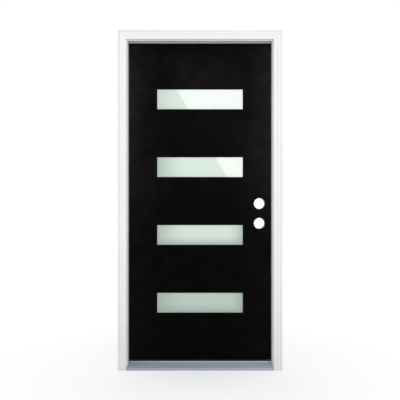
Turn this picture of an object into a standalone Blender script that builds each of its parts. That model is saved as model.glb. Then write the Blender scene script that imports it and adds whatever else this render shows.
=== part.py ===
"""Prehung inswing entrance door.

A flush slab with four narrow lites hangs on three butt hinges in a rabbeted wooden
frame with brickmould, weatherstrip and an adjustable sill.
Metres. +X is right and +Y is indoors as seen from outside, +Z is up. The origin lies
under the sill, midway between the jambs and in the plane of their outdoor edges.
"""

import bmesh
import bpy
from math import cos, pi, radians, sin
from mathutils import Matrix, Vector

# Fit of touching pieces, and clearances of the slab in its frame
FIT = 0.0003
MITRE_FIT = 0.0005
SIDE_GAP = 0.005
HEAD_GAP = 0.005
SEAL_GAP = 0.001

# Slab
SLAB_WIDTH = 0.914
SLAB_HEIGHT = 2.007
SLAB_THICKNESS = 0.0445
SLAB_LIFT = 0.042
SKIN_THICKNESS = 0.002
STILE_WIDTH = 0.032
TOP_RAIL_HEIGHT = 0.032
BOTTOM_RAIL_HEIGHT = 0.045
LOCK_EDGE_BEVEL = 0.0025

# Lites: equal insulating glass units, evenly spaced and centred in the slab
LITE_COUNT = 4
LITE_SIDE_MARGIN = 0.185
LITE_HEIGHT = 0.127
LITE_PITCH = 0.4295
PANE_THICKNESS = 0.005
PANE_LAP = 0.010
SPACER_WIDTH = 0.009

# Lock preparation of the slab
BORE_DIAMETER = 0.070
BORE_BACKSET = 0.081
LATCH_HEIGHT = 0.862
BORE_SPACING = 0.1255
EDGE_BORE_DIAMETER = 0.0254
FACEPLATE_WIDTH = 0.0254
FACEPLATE_LENGTH = 0.0572
FACEPLATE_DEPTH = 0.003
LOCK_BLOCK_MARGIN = 0.016

# Strike preparation of the jamb
STRIKE_LENGTH = 0.070
STRIKE_WIDTH = 0.0286
STRIKE_DEPTH = 0.0016
STRIKE_CORNER = 0.005
LATCH_POCKET_LENGTH = 0.022
LATCH_POCKET_WIDTH = 0.0155
BOLT_POCKET_DIAMETER = 0.0222
STRIKE_POCKET_DEPTH = 0.0125

# Jambs
JAMB_DEPTH = 0.116
JAMB_THICKNESS = 0.0318
RABBET_DEPTH = 0.0127
RABBET_WIDTH = 0.054
JAMB_EASE = 0.0015
KERF_WIDTH = 0.003
KERF_DEPTH = 0.0105
KERF_SETBACK = 0.003

# Screws that hold the head to the legs, by their depths from outdoors
HEAD_SCREW_DEPTHS = (0.009, 0.026, JAMB_DEPTH - 0.018)
HEAD_SCREW_HOLE = 0.0045
HEAD_SCREW_LENGTH = 0.058

# Weatherstrip
STRIP_FIN_THICKNESS = 0.0018
STRIP_FIN_DEPTH = 0.0090
STRIP_ROUND = 0.003
STRIP_INSET = 0.0008

# Brickmould
MOULD_WIDTH = 0.0508
MOULD_THICKNESS = 0.0318
MOULD_INNER_THICKNESS = 0.0200
MOULD_FLAT = 0.0195
MOULD_BAND = 0.0120
MOULD_STEP = 0.0022
MOULD_EASE = 0.0025
MOULD_REVEAL = 0.0064
MOULD_CURVE_STEPS = 8

# Sill
SILL_DEPTH = 0.143
NOSE_HEIGHT = 0.016
NOSE_RADIUS = 0.0035
TREAD_RISE = 0.0095
TREAD_THICKNESS = 0.002
UPSTAND_HEIGHT = 0.0050
UPSTAND_THICKNESS = 0.0018
CAP_WIDTH = 0.0335
CAP_TOP = 0.0345
CAP_BEVEL = 0.0030
CHANNEL_FLOOR = 0.014
BACK_LIP_THICKNESS = 0.004
BACK_LIP_TOP = 0.031

# Sweep under the slab
SWEEP_WIDTH = 0.038
SWEEP_PLATE = 0.0026
SWEEP_FIN_COUNT = 3
SWEEP_FIN_WIDTH = 0.0022
SWEEP_KERF_DEPTH = 0.009
SWEEP_LEG_THICKNESS = 0.002
SWEEP_END_GAP = 0.001

# Butt hinges
HINGE_HEIGHT = 0.1016
HINGE_TOP_DROP = 0.212
HINGE_BOTTOM_RISE = 0.253
LEAF_REACH = 0.0508
LEAF_THICKNESS = 0.0024
LEAF_CORNER = 0.0064
BARREL_DIAMETER = 0.0125
BARREL_CLEARANCE = 0.0008
TONGUE_WALL = 0.0004
PIN_DIAMETER = 0.0074
PIN_PLAY = 0.00025
PIN_OFFSET = 0.0105
PIN_HEAD_DIAMETER = 0.0105
PIN_HEAD_HEIGHT = 0.0035
PIN_TIP_DROP = 0.003
KNUCKLE_COUNT = 5
KNUCKLE_GAP = 0.0005
HINGE_SCREWS = 4
SCREW_HOLE_DIAMETER = 0.0048
SCREW_HEAD_DIAMETER = 0.0088
SCREW_STAGGER = 0.0075
SCREW_SHIFT = 0.002
SCREW_END_MARGIN = 0.0125

# Facets, and how far a cutter passes the face that it cuts
ROUND_STEPS = 24
BORE_STEPS = 32
SCREW_STEPS = 12
CORNER_STEPS = 4
OVERCUT = 0.002

# Places that follow from the sizes
SLAB_LEFT = -SLAB_WIDTH / 2
SLAB_RIGHT = SLAB_WIDTH / 2
SLAB_BOTTOM = SLAB_LIFT
SLAB_TOP = SLAB_LIFT + SLAB_HEIGHT
SLAB_INDOOR = JAMB_DEPTH
SLAB_OUTDOOR = JAMB_DEPTH - SLAB_THICKNESS
SLAB_MIDDLE = JAMB_DEPTH - SLAB_THICKNESS / 2
CORE_OUTDOOR = SLAB_OUTDOOR + SKIN_THICKNESS + FIT
CORE_INDOOR = SLAB_INDOOR - SKIN_THICKNESS - FIT
LITE_WIDTH = SLAB_WIDTH - 2 * LITE_SIDE_MARGIN

RABBET_FACE = SLAB_WIDTH / 2 + SIDE_GAP
STOP_FACE = RABBET_FACE - RABBET_DEPTH
JAMB_BACK = STOP_FACE + JAMB_THICKNESS
SHOULDER = JAMB_DEPTH - RABBET_WIDTH
HEAD_RABBET = SLAB_TOP + HEAD_GAP
HEAD_STOP = HEAD_RABBET - RABBET_DEPTH
HEAD_TOP = HEAD_STOP + JAMB_THICKNESS
MOULD_INNER = STOP_FACE + MOULD_REVEAL
MOULD_HEAD_INNER = HEAD_STOP + MOULD_REVEAL

SILL_NOSE = JAMB_DEPTH - SILL_DEPTH
CAP_BACK = JAMB_DEPTH - BACK_LIP_THICKNESS - FIT
CAP_FRONT = CAP_BACK - CAP_WIDTH
TREAD_BACK = CAP_FRONT - FIT
TREAD_TOP = NOSE_HEIGHT + TREAD_RISE

LATCH_Z = SLAB_BOTTOM + LATCH_HEIGHT
BOLT_Z = LATCH_Z + BORE_SPACING
BORE_X = SLAB_RIGHT - BORE_BACKSET
LOCK_BLOCK_INNER = BORE_X - BORE_DIAMETER / 2 - LOCK_BLOCK_MARGIN
LOCK_BLOCK_BOTTOM = LATCH_Z - BORE_DIAMETER / 2 - LOCK_BLOCK_MARGIN
LOCK_BLOCK_TOP = BOLT_Z + BORE_DIAMETER / 2 + LOCK_BLOCK_MARGIN

PIN_X = SLAB_LEFT - SIDE_GAP / 2
PIN_Y = SLAB_INDOOR + PIN_OFFSET
HINGE_TOP_Z = SLAB_TOP - HINGE_TOP_DROP
HINGE_BOTTOM_Z = SLAB_BOTTOM + HINGE_BOTTOM_RISE
HINGES = (
    ("top", HINGE_TOP_Z),
    ("middle", (HINGE_TOP_Z + HINGE_BOTTOM_Z) / 2),
    ("bottom", HINGE_BOTTOM_Z),
)


def lite_centres():
    """Heights of the lites' centres, from the top one down."""
    middle = SLAB_BOTTOM + SLAB_HEIGHT / 2
    first = middle + LITE_PITCH * (LITE_COUNT - 1) / 2
    return [first - LITE_PITCH * i for i in range(LITE_COUNT)]


def tread_height(y):
    """Height of the sloping tread's upper face at a depth y."""
    return NOSE_HEIGHT + TREAD_RISE * (y - SILL_NOSE) / (TREAD_BACK - SILL_NOSE)


def lock_edge(y):
    """Where the bevelled lock edge of the slab lies at a depth y."""
    return SLAB_RIGHT - LOCK_EDGE_BEVEL * (SLAB_INDOOR - y) / SLAB_THICKNESS


# Materials

def finish(name, colour, roughness, metallic=0.0):
    """A Principled material with one colour, roughness and metallic value."""
    material = bpy.data.materials.new(name)
    material.use_nodes = True
    shader = material.node_tree.nodes["Principled BSDF"]
    shader.inputs["Base Color"].default_value = (*colour, 1.0)
    shader.inputs["Roughness"].default_value = roughness
    shader.inputs["Metallic"].default_value = metallic
    material.diffuse_color = (*colour, 1.0)
    return material


# Modelling helpers

def arc(centre, radius, start, end, steps=CORNER_STEPS):
    """Points of an arc in a plane, angles in degrees."""
    points = []
    for i in range(steps + 1):
        angle = radians(start + (end - start) * i / steps)
        points.append((centre[0] + radius * cos(angle), centre[1] + radius * sin(angle)))
    return points


def rectangle(low_a, low_b, high_a, high_b):
    return [(low_a, low_b), (high_a, low_b), (high_a, high_b), (low_a, high_b)]


def rounded_rectangle(low_a, low_b, high_a, high_b, r):
    return (
        arc((high_a - r, high_b - r), r, 0, 90)
        + arc((low_a + r, high_b - r), r, 90, 180)
        + arc((low_a + r, low_b + r), r, 180, 270)
        + arc((high_a - r, low_b + r), r, 270, 360)
    )


def upright(a, b, along):
    """A plan section, (x, y), run along Z."""
    return a, b, along


def lengthwise(a, b, along):
    """A side section, (y, z), run along X."""
    return along, a, b


def through(a, b, along):
    """An elevation, (x, z), run along Y."""
    return a, along, b


def beside(side, face):
    """A section run up one side of the opening: (in from face, depth)."""
    return lambda a, b, along: (side * (face - a), b, along)


def overhead(face):
    """A section run across the head: (down from face, depth)."""
    return lambda a, b, along: (along, b, face - a)


def add_run(bm, outline, place, low, high):
    """Runs a closed outline from low to high, each a number or a function of the point."""
    ends = []
    for limit in (low, high):
        spots = [place(a, b, limit(a, b) if callable(limit) else limit) for a, b in outline]
        ends.append([bm.verts.new(spot) for spot in spots])
        bm.faces.new(ends[-1])
    first, last = ends
    for i in range(len(outline)):
        bm.faces.new((first[i - 1], first[i], last[i], last[i - 1]))


def add_box(bm, low, high):
    add_run(bm, rectangle(low[0], low[1], high[0], high[1]), upright, low[2], high[2])


def add_cylinder(bm, centre, axis, radius, length, end_radius=None, steps=ROUND_STEPS):
    """A cylinder or cone centred on a point, along X, Y or Z, its corners on the radius."""
    turn = {
        "X": Matrix.Rotation(pi / 2, 4, "Y"),
        "Y": Matrix.Rotation(-pi / 2, 4, "X"),
        "Z": Matrix.Identity(4),
    }[axis]
    bmesh.ops.create_cone(
        bm,
        cap_ends=True,
        segments=steps,
        radius1=radius,
        radius2=radius if end_radius is None else end_radius,
        depth=length,
        matrix=Matrix.Translation(Vector(centre)) @ turn,
    )


def add_turned(bm, profile, place, steps):
    """Turns a (radius, along) profile round an axis and closes its two ends."""
    rings = []
    for radius, along in profile:
        ring = []
        for i in range(steps):
            turn = 2 * pi * i / steps
            ring.append(bm.verts.new(place(radius * cos(turn), radius * sin(turn), along)))
        rings.append(ring)
    bm.faces.new(rings[0])
    bm.faces.new(rings[-1])
    for first, last in zip(rings, rings[1:]):
        for i in range(steps):
            bm.faces.new((first[i - 1], first[i], last[i], last[i - 1]))


def make(name, build, material=None):
    """A named object from what build(bm) models, with its faces outward."""
    bm = bmesh.new()
    build(bm)
    bmesh.ops.recalc_face_normals(bm, faces=bm.faces)
    mesh = bpy.data.meshes.new(name)
    bm.to_mesh(mesh)
    bm.free()
    piece = bpy.data.objects.new(name, mesh)
    bpy.context.collection.objects.link(piece)
    if material:
        mesh.materials.append(material)
    return piece


def run(name, outline, place, low, high, material):
    return make(name, lambda bm: add_run(bm, outline, place, low, high), material)


def shape(pieces, name, build, operation="DIFFERENCE"):
    """Cuts from each piece, or joins to it, the solids that build(bm) models."""
    tool = make(name, build)
    tool.hide_render = True
    tool.display_type = "WIRE"
    for piece in pieces:
        step = piece.modifiers.new(name, "BOOLEAN")
        step.operation = operation
        step.solver = "EXACT"
        step.object = tool


def smooth(piece, angle=35):
    piece.data.shade_smooth()
    piece.data.set_sharp_from_angle(angle=radians(angle))


# Jambs

def jamb_section():
    """Rabbeted jamb: (in from the rabbet face, depth from outdoors), with the seal's kerf."""
    ease = JAMB_EASE
    back = RABBET_DEPTH - JAMB_THICKNESS
    near = KERF_SETBACK
    far = KERF_SETBACK + KERF_WIDTH
    bottom = SHOULDER - KERF_DEPTH
    return (
        [(back, 0)]
        + arc((RABBET_DEPTH - ease, ease), ease, -90, 0)
        + arc((RABBET_DEPTH - ease, SHOULDER - ease), ease, 0, 90)
        + [(far, SHOULDER), (far, bottom), (near, bottom), (near, SHOULDER)]
        + [(0, SHOULDER)]
        + arc((-ease, JAMB_DEPTH - ease), ease, 0, 90)
        + [(back, JAMB_DEPTH)]
    )


def cut_sill_notch(jamb, side):
    """Trims the foot of a jamb's stop to the slope of the sill."""
    outline = [
        (-OVERCUT, -OVERCUT),
        (SHOULDER + OVERCUT, -OVERCUT),
        (SHOULDER + OVERCUT, tread_height(SHOULDER + OVERCUT) + FIT),
        (-OVERCUT, tread_height(-OVERCUT) + FIT),
    ]
    low, high = sorted((side * RABBET_FACE, side * (STOP_FACE - OVERCUT)))
    name = f"{jamb.name}_sill_notch"
    shape([jamb], name, lambda bm: add_run(bm, outline, lengthwise, low, high))


def mortise_corners(free_edge, open_edge, low, high):
    """A hinge mortise seen from the side, (y, z), its corners round at the free edge."""
    r = LEAF_CORNER
    return (
        [(open_edge, low)]
        + arc((free_edge + r, low + r), r, -90, -180)
        + arc((free_edge + r, high - r), r, 180, 90)
        + [(open_edge, high)]
    )


def add_leaf_mortises(bm, face, depth):
    """Recesses for the three leaves in a face at x, cut depth deep (signed)."""
    for _, height in HINGES:
        outline = mortise_corners(
            PIN_Y - LEAF_REACH - FIT,
            JAMB_DEPTH + OVERCUT,
            height - HINGE_HEIGHT / 2 - FIT,
            height + HINGE_HEIGHT / 2 + FIT,
        )
        outside = face - OVERCUT * depth / abs(depth)
        low, high = sorted((outside, face + depth))
        add_run(bm, outline, lengthwise, low, high)


def add_strike_recesses(bm):
    """Mortises for the two strikes, each with its pocket, in the strike jamb's rabbet."""
    for height in (LATCH_Z, BOLT_Z):
        outline = rounded_rectangle(
            SLAB_MIDDLE - STRIKE_WIDTH / 2,
            height - STRIKE_LENGTH / 2,
            SLAB_MIDDLE + STRIKE_WIDTH / 2,
            height + STRIKE_LENGTH / 2,
            STRIKE_CORNER,
        )
        add_run(bm, outline, lengthwise, RABBET_FACE - OVERCUT, RABBET_FACE + STRIKE_DEPTH)


def add_strike_pockets(bm):
    """A square pocket for the latch and a round one for the dead bolt."""
    add_box(
        bm,
        (RABBET_FACE, SLAB_MIDDLE - LATCH_POCKET_WIDTH / 2, LATCH_Z - LATCH_POCKET_LENGTH / 2),
        (RABBET_FACE + STRIKE_POCKET_DEPTH, SLAB_MIDDLE + LATCH_POCKET_WIDTH / 2,
         LATCH_Z + LATCH_POCKET_LENGTH / 2),
    )
    add_cylinder(
        bm,
        (RABBET_FACE + STRIKE_POCKET_DEPTH / 2, SLAB_MIDDLE, BOLT_Z),
        "X",
        BOLT_POCKET_DIAMETER / 2,
        STRIKE_POCKET_DEPTH,
    )


def make_jambs(wood):
    section = jamb_section()
    top = HEAD_RABBET - FIT
    hinge = run("hinge_jamb", section, beside(-1, RABBET_FACE), 0, top, wood)
    strike = run("strike_jamb", section, beside(1, RABBET_FACE), 0, top, wood)
    head = run("head_jamb", section, overhead(HEAD_RABBET), -JAMB_BACK, JAMB_BACK, wood)
    cut_sill_notch(hinge, -1)
    cut_sill_notch(strike, 1)
    shape([hinge], "jamb_hinge_mortises",
          lambda bm: add_leaf_mortises(bm, -RABBET_FACE, -LEAF_THICKNESS - FIT))
    shape([strike], "strike_mortises", add_strike_recesses)
    shape([strike], "strike_pockets", add_strike_pockets)

    def add_end_blocks(bm):
        for side in (-1, 1):
            low, high = sorted((side * (STOP_FACE - FIT), side * (JAMB_BACK + OVERCUT)))
            add_box(
                bm,
                (low, -OVERCUT, HEAD_STOP - OVERCUT),
                (high, SHOULDER + OVERCUT, HEAD_RABBET),
            )

    def add_head_screw_holes(bm):
        for side in (-1, 1):
            for depth in HEAD_SCREW_DEPTHS:
                low = HEAD_TOP - HEAD_SCREW_LENGTH
                middle = (low + HEAD_TOP + OVERCUT) / 2
                spot = (side * (RABBET_FACE + JAMB_BACK) / 2, depth, middle)
                add_cylinder(bm, spot, "Z", HEAD_SCREW_HOLE / 2, HEAD_TOP + OVERCUT - low,
                             steps=SCREW_STEPS)

    shape([head], "head_stop_ends", add_end_blocks)
    shape([hinge, strike, head], "head_screw_holes", add_head_screw_holes)
    return [hinge, strike, head]


# Brickmould

def mould_section():
    """Brickmould: (minus the distance out from its inner edge, minus its thickness)."""
    ease = MOULD_EASE
    thin = MOULD_INNER_THICKNESS
    thick = MOULD_THICKNESS
    curve_start = MOULD_BAND
    curve_end = MOULD_WIDTH - MOULD_FLAT
    low = thin + MOULD_STEP
    high = thick - MOULD_STEP
    face = arc((ease, thin - ease), ease, 180, 90) + [(curve_start, thin)]
    for i in range(MOULD_CURVE_STEPS + 1):
        u = i / MOULD_CURVE_STEPS
        across = curve_start + u * (curve_end - curve_start)
        face.append((across, low + (high - low) * u * u * (3 - 2 * u)))
    face.append((curve_end, thick))
    face += arc((MOULD_WIDTH - ease, thick - ease), ease, 90, 0)
    outline = [(0, 0)] + face + [(MOULD_WIDTH, 0)]
    return [(-a, -FIT - b) for a, b in outline]


def make_brickmould(paint):
    """Two legs and a head, mitred where they meet, on the jambs' outdoor edges."""
    section = mould_section()
    pieces = []
    for side, name in ((-1, "brickmould_hinge_side"), (1, "brickmould_strike_side")):
        pieces.append(run(
            name, section, beside(side, MOULD_INNER), 0,
            lambda a, b: MOULD_HEAD_INNER - a - MITRE_FIT, paint,
        ))
    pieces.append(run(
        "brickmould_head", section, overhead(MOULD_HEAD_INNER),
        lambda a, b: a - MOULD_INNER, lambda a, b: MOULD_INNER - a, paint,
    ))
    return pieces


# Weatherstrip

def strip_section():
    """Foam seal in the corner of the rabbet, with its fin in the kerf."""
    fin_near = KERF_SETBACK + (KERF_WIDTH - STRIP_FIN_THICKNESS) / 2
    fin_far = fin_near + STRIP_FIN_THICKNESS
    base = SHOULDER + FIT
    nose = SLAB_OUTDOOR - SEAL_GAP
    edge = RABBET_DEPTH - STRIP_INSET
    r = STRIP_ROUND
    return (
        [(fin_near, base), (fin_near, SHOULDER - STRIP_FIN_DEPTH)]
        + [(fin_far, SHOULDER - STRIP_FIN_DEPTH), (fin_far, base), (edge, base)]
        + arc((edge - r, nose - r), r, 0, 90)
        + arc((FIT + r, nose - r), r, 90, 180)
        + [(FIT, base)]
    )


def make_weatherstrip(foam):
    section = strip_section()
    pieces = []
    for side, name in ((-1, "weatherstrip_hinge_side"), (1, "weatherstrip_strike_side")):
        pieces.append(run(
            name, section, beside(side, RABBET_FACE),
            lambda a, b: tread_height(b) + FIT, HEAD_RABBET - FIT, foam,
        ))
    reach = STOP_FACE - 2 * FIT
    pieces.append(run("weatherstrip_head", section, overhead(HEAD_RABBET), -reach, reach, foam))
    return pieces


# Sill

def tread_section():
    """Folded aluminium: nose, sloping tread and the upstand in front of the cap."""
    t = TREAD_THICKNESS
    r = NOSE_RADIUS
    lip = TREAD_BACK - UPSTAND_THICKNESS
    outer = (
        [(SILL_NOSE, 0)]
        + arc((SILL_NOSE + r, NOSE_HEIGHT - r), r, 180, 90)
        + [(lip, tread_height(lip)), (lip, tread_height(lip) + UPSTAND_HEIGHT)]
        + [(TREAD_BACK, tread_height(lip) + UPSTAND_HEIGHT)]
    )
    inner_nose = SILL_NOSE + t
    return outer + [
        (TREAD_BACK, tread_height(TREAD_BACK) - t),
        (inner_nose, tread_height(inner_nose) - t),
        (inner_nose, 0),
    ]


def base_section():
    """Solid substrate under the tread, with the cap's channel and its back lip."""
    front = SILL_NOSE + TREAD_THICKNESS + FIT
    under = TREAD_THICKNESS + FIT
    return [
        (front, 0),
        (JAMB_DEPTH, 0),
        (JAMB_DEPTH, BACK_LIP_TOP),
        (JAMB_DEPTH - BACK_LIP_THICKNESS, BACK_LIP_TOP),
        (JAMB_DEPTH - BACK_LIP_THICKNESS, CHANNEL_FLOOR),
        (TREAD_BACK, CHANNEL_FLOOR),
        (TREAD_BACK, tread_height(TREAD_BACK) - under),
        (front, tread_height(front) - under),
    ]


def cap_section():
    """Adjustable cap: a block in its channel, bevelled along its top edges."""
    c = CAP_BEVEL
    return [
        (CAP_FRONT, CHANNEL_FLOOR + FIT),
        (CAP_BACK, CHANNEL_FLOOR + FIT),
        (CAP_BACK, CAP_TOP - c),
        (CAP_BACK - c, CAP_TOP),
        (CAP_FRONT + c, CAP_TOP),
        (CAP_FRONT, CAP_TOP - c),
    ]


def make_sill(aluminium, substrate, composite):
    end = RABBET_FACE - FIT
    tread = run("sill_tread", tread_section(), lengthwise, -end, end, aluminium)
    base = run("sill_base", base_section(), lengthwise, -end, end, substrate)
    cap = run("sill_cap", cap_section(), lengthwise, -end, end, composite)

    def add_nose_ends(bm):
        for side in (-1, 1):
            low, high = sorted((side * (MOULD_INNER - FIT), side * (RABBET_FACE + OVERCUT)))
            add_box(bm, (low, SILL_NOSE - OVERCUT, -OVERCUT), (high, 0, TREAD_TOP + OVERCUT))

    shape([tread, base], "sill_nose_ends", add_nose_ends)
    return [tread, base, cap]


# Slab

def add_lock_bores(bm):
    """The two cross bores through the slab."""
    for height in (LATCH_Z, BOLT_Z):
        add_cylinder(
            bm, (BORE_X, SLAB_MIDDLE, height), "Y",
            BORE_DIAMETER / 2, SLAB_THICKNESS + 2 * OVERCUT, steps=BORE_STEPS,
        )


def add_edge_bores(bm):
    """Latch and bolt bores, from the lock edge into the cross bores."""
    far = SLAB_RIGHT + OVERCUT
    for height in (LATCH_Z, BOLT_Z):
        add_cylinder(
            bm, ((BORE_X + far) / 2, SLAB_MIDDLE, height), "X",
            EDGE_BORE_DIAMETER / 2, far - BORE_X,
        )


def add_faceplate_mortises(bm):
    """Recesses in the lock edge for the latch and bolt faceplates."""
    bottom = lock_edge(SLAB_MIDDLE) - FACEPLATE_DEPTH
    far = SLAB_RIGHT + OVERCUT
    for height in (LATCH_Z, BOLT_Z):
        add_box(
            bm,
            (bottom, SLAB_MIDDLE - FACEPLATE_WIDTH / 2, height - FACEPLATE_LENGTH / 2),
            (far, SLAB_MIDDLE + FACEPLATE_WIDTH / 2, height + FACEPLATE_LENGTH / 2),
        )


def lite_outline(height, grow):
    """A lite's outline in elevation, grown by a margin all round."""
    across = LITE_WIDTH / 2 + grow
    up = LITE_HEIGHT / 2 + grow
    return rectangle(-across, height - up, across, height + up)


def add_lite_holes(bm, grow):
    low = SLAB_OUTDOOR - OVERCUT
    high = SLAB_INDOOR + OVERCUT
    for height in lite_centres():
        add_run(bm, lite_outline(height, grow), through, low, high)


def make_skins(fibreglass):
    """The two moulded faces of the slab, cut for the lites and the lock."""
    pieces = []
    for name, front in (
        ("door_skin_exterior", SLAB_OUTDOOR),
        ("door_skin_interior", SLAB_INDOOR - SKIN_THICKNESS),
    ):
        back = front + SKIN_THICKNESS
        outline = [
            (SLAB_LEFT, front),
            (lock_edge(front), front),
            (lock_edge(back), back),
            (SLAB_LEFT, back),
        ]
        pieces.append(run(name, outline, upright, SLAB_BOTTOM, SLAB_TOP, fibreglass))
    shape(pieces, "skin_lite_holes", lambda bm: add_lite_holes(bm, 0))
    shape(pieces, "skin_lock_bores", add_lock_bores)
    return pieces


def lock_side_outline(inner):
    """Plan of a core piece that ends in the bevelled lock edge."""
    return [
        (inner, CORE_OUTDOOR),
        (lock_edge(CORE_OUTDOOR), CORE_OUTDOOR),
        (lock_edge(CORE_INDOOR), CORE_INDOOR),
        (inner, CORE_INDOOR),
    ]


def make_stiles(wood):
    """The hinge stile is whole, and the lock stile has the lock block in its length."""
    inner_left = SLAB_LEFT + STILE_WIDTH
    hinge = run(
        "hinge_stile", rectangle(SLAB_LEFT, CORE_OUTDOOR, inner_left, CORE_INDOOR),
        upright, SLAB_BOTTOM, SLAB_TOP, wood,
    )
    plan = lock_side_outline(SLAB_RIGHT - STILE_WIDTH)
    lower = run("lock_stile_lower", plan, upright, SLAB_BOTTOM, LOCK_BLOCK_BOTTOM - FIT, wood)
    upper = run("lock_stile_upper", plan, upright, LOCK_BLOCK_TOP + FIT, SLAB_TOP, wood)
    return hinge, lower, upper


def make_rails(wood):
    left = SLAB_LEFT + STILE_WIDTH + FIT
    right = SLAB_RIGHT - STILE_WIDTH - FIT
    plan = rectangle(left, CORE_OUTDOOR, right, CORE_INDOOR)
    top = run("top_rail", plan, upright, SLAB_TOP - TOP_RAIL_HEIGHT, SLAB_TOP, wood)
    bottom = run("bottom_rail", plan, upright, SLAB_BOTTOM, SLAB_BOTTOM + BOTTOM_RAIL_HEIGHT, wood)
    return top, bottom


def make_core(foam):
    left = SLAB_LEFT + STILE_WIDTH + FIT
    right = SLAB_RIGHT - STILE_WIDTH - FIT
    low = SLAB_BOTTOM + BOTTOM_RAIL_HEIGHT + FIT
    high = SLAB_TOP - TOP_RAIL_HEIGHT - FIT
    plan = rectangle(left, CORE_OUTDOOR, right, CORE_INDOOR)
    core = run("foam_core", plan, upright, low, high, foam)

    def add_block_place(bm):
        add_box(
            bm,
            (LOCK_BLOCK_INNER - FIT, CORE_OUTDOOR - OVERCUT, LOCK_BLOCK_BOTTOM - FIT),
            (right + OVERCUT, CORE_INDOOR + OVERCUT, LOCK_BLOCK_TOP + FIT),
        )

    shape([core], "core_lite_holes", lambda bm: add_lite_holes(bm, PANE_LAP + FIT))
    shape([core], "core_lock_block_place", add_block_place)
    return core


def make_lock_block(wood):
    plan = lock_side_outline(LOCK_BLOCK_INNER)
    block = run("lock_block", plan, upright, LOCK_BLOCK_BOTTOM, LOCK_BLOCK_TOP, wood)
    shape([block], "block_lock_bores", add_lock_bores)
    shape([block], "block_edge_bores", add_edge_bores)
    shape([block], "block_faceplates", add_faceplate_mortises)
    return block


def make_lites(glass, spacer_metal):
    """Each unit is two panes on a spacer frame, held behind the skins' edges."""
    pieces = []
    outer_back = CORE_OUTDOOR + PANE_THICKNESS
    inner_front = CORE_INDOOR - PANE_THICKNESS
    for number, height in enumerate(lite_centres(), 1):
        lite = f"lite_{number}"
        pane = lite_outline(height, PANE_LAP)
        hole = lite_outline(height, PANE_LAP - SPACER_WIDTH)
        outer = run(f"{lite}_outer_pane", pane, through, CORE_OUTDOOR, outer_back, glass)
        inner = run(f"{lite}_inner_pane", pane, through, inner_front, CORE_INDOOR, glass)
        low = outer_back + FIT
        high = inner_front - FIT
        frame = run(f"{lite}_frame", pane, through, low, high, spacer_metal)
        shape([frame], f"{lite}_frame_hole",
              lambda bm: add_run(bm, hole, through, SLAB_OUTDOOR, SLAB_INDOOR))
        pieces += [outer, inner, frame]
    return pieces


def sweep_kerfs():
    """Depths, (low, high), of the two kerfs that hold the sweep."""
    middles = (SLAB_MIDDLE - SWEEP_WIDTH / 4, SLAB_MIDDLE + SWEEP_WIDTH / 4)
    half = SWEEP_LEG_THICKNESS / 2
    return [(middle - half, middle + half) for middle in middles]


def sweep_section():
    """Sweep in the side view: two legs up into the rail, a plate and fins down to the cap."""
    low_y = SLAB_MIDDLE - SWEEP_WIDTH / 2
    high_y = SLAB_MIDDLE + SWEEP_WIDTH / 2
    top = SLAB_BOTTOM - FIT
    under = top - SWEEP_PLATE
    tip = CAP_TOP + SEAL_GAP
    leg_top = SLAB_BOTTOM + SWEEP_KERF_DEPTH
    outline = [(low_y, top)]
    for near, far in sweep_kerfs():
        outline += [(near, top), (near, leg_top), (far, leg_top), (far, top)]
    outline += [(high_y, top), (high_y, under)]
    spread = CAP_WIDTH - 2 * CAP_BEVEL - 2 * SWEEP_FIN_WIDTH
    cap_middle = (CAP_FRONT + CAP_BACK) / 2
    half = SWEEP_FIN_WIDTH / 2
    for i in range(SWEEP_FIN_COUNT):
        middle = cap_middle + spread * (0.5 - i / (SWEEP_FIN_COUNT - 1))
        outline += [(middle + half, under), (middle + half / 2, tip)]
        outline += [(middle - half / 2, tip), (middle - half, under)]
    return outline + [(low_y, under)]


def make_sweep(rubber, bottom_rail):
    def add_kerfs(bm):
        for near, far in sweep_kerfs():
            add_box(
                bm,
                (SLAB_LEFT, near - FIT, SLAB_BOTTOM - OVERCUT),
                (SLAB_RIGHT, far + FIT, SLAB_BOTTOM + SWEEP_KERF_DEPTH + FIT),
            )

    shape([bottom_rail], "sweep_kerfs", add_kerfs)
    left = SLAB_LEFT + STILE_WIDTH + SWEEP_END_GAP
    right = SLAB_RIGHT - STILE_WIDTH - SWEEP_END_GAP
    return run("door_sweep", sweep_section(), lengthwise, left, right, rubber)


# Hinges

def knuckles(height, jamb_side):
    """Height ranges of the knuckles that belong to one leaf: ends and middle on the jamb."""
    pitch = HINGE_HEIGHT / KNUCKLE_COUNT
    bottom = height - HINGE_HEIGHT / 2
    ranges = []
    for i in range(KNUCKLE_COUNT):
        if (i % 2 == 0) == jamb_side:
            low = bottom + i * pitch + (KNUCKLE_GAP / 2 if i else 0)
            high = bottom + (i + 1) * pitch - (KNUCKLE_GAP / 2 if i < KNUCKLE_COUNT - 1 else 0)
            ranges.append((low, high))
    return ranges


def leaf_outline(height, jamb_side):
    """Leaf plate from the side, (y, z): round free corners, tongues into its own knuckles."""
    low = height - HINGE_HEIGHT / 2
    high = height + HINGE_HEIGHT / 2
    free = PIN_Y - LEAF_REACH
    root = PIN_Y - BARREL_DIAMETER / 2 - BARREL_CLEARANCE
    tongue = PIN_Y - PIN_DIAMETER / 2 - PIN_PLAY - TONGUE_WALL
    r = LEAF_CORNER
    outline = [(root, low)] + arc((free + r, low + r), r, -90, -180)
    outline += arc((free + r, high - r), r, 180, 90) + [(root, high)]
    for bottom, top in reversed(knuckles(height, jamb_side)):
        outline += [(root, top), (tongue, top), (tongue, bottom), (root, bottom)]
    points = []
    for point in outline:
        if not points or point != points[-1]:
            points.append(point)
    return points[:-1] if points[-1] == points[0] else points


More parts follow.
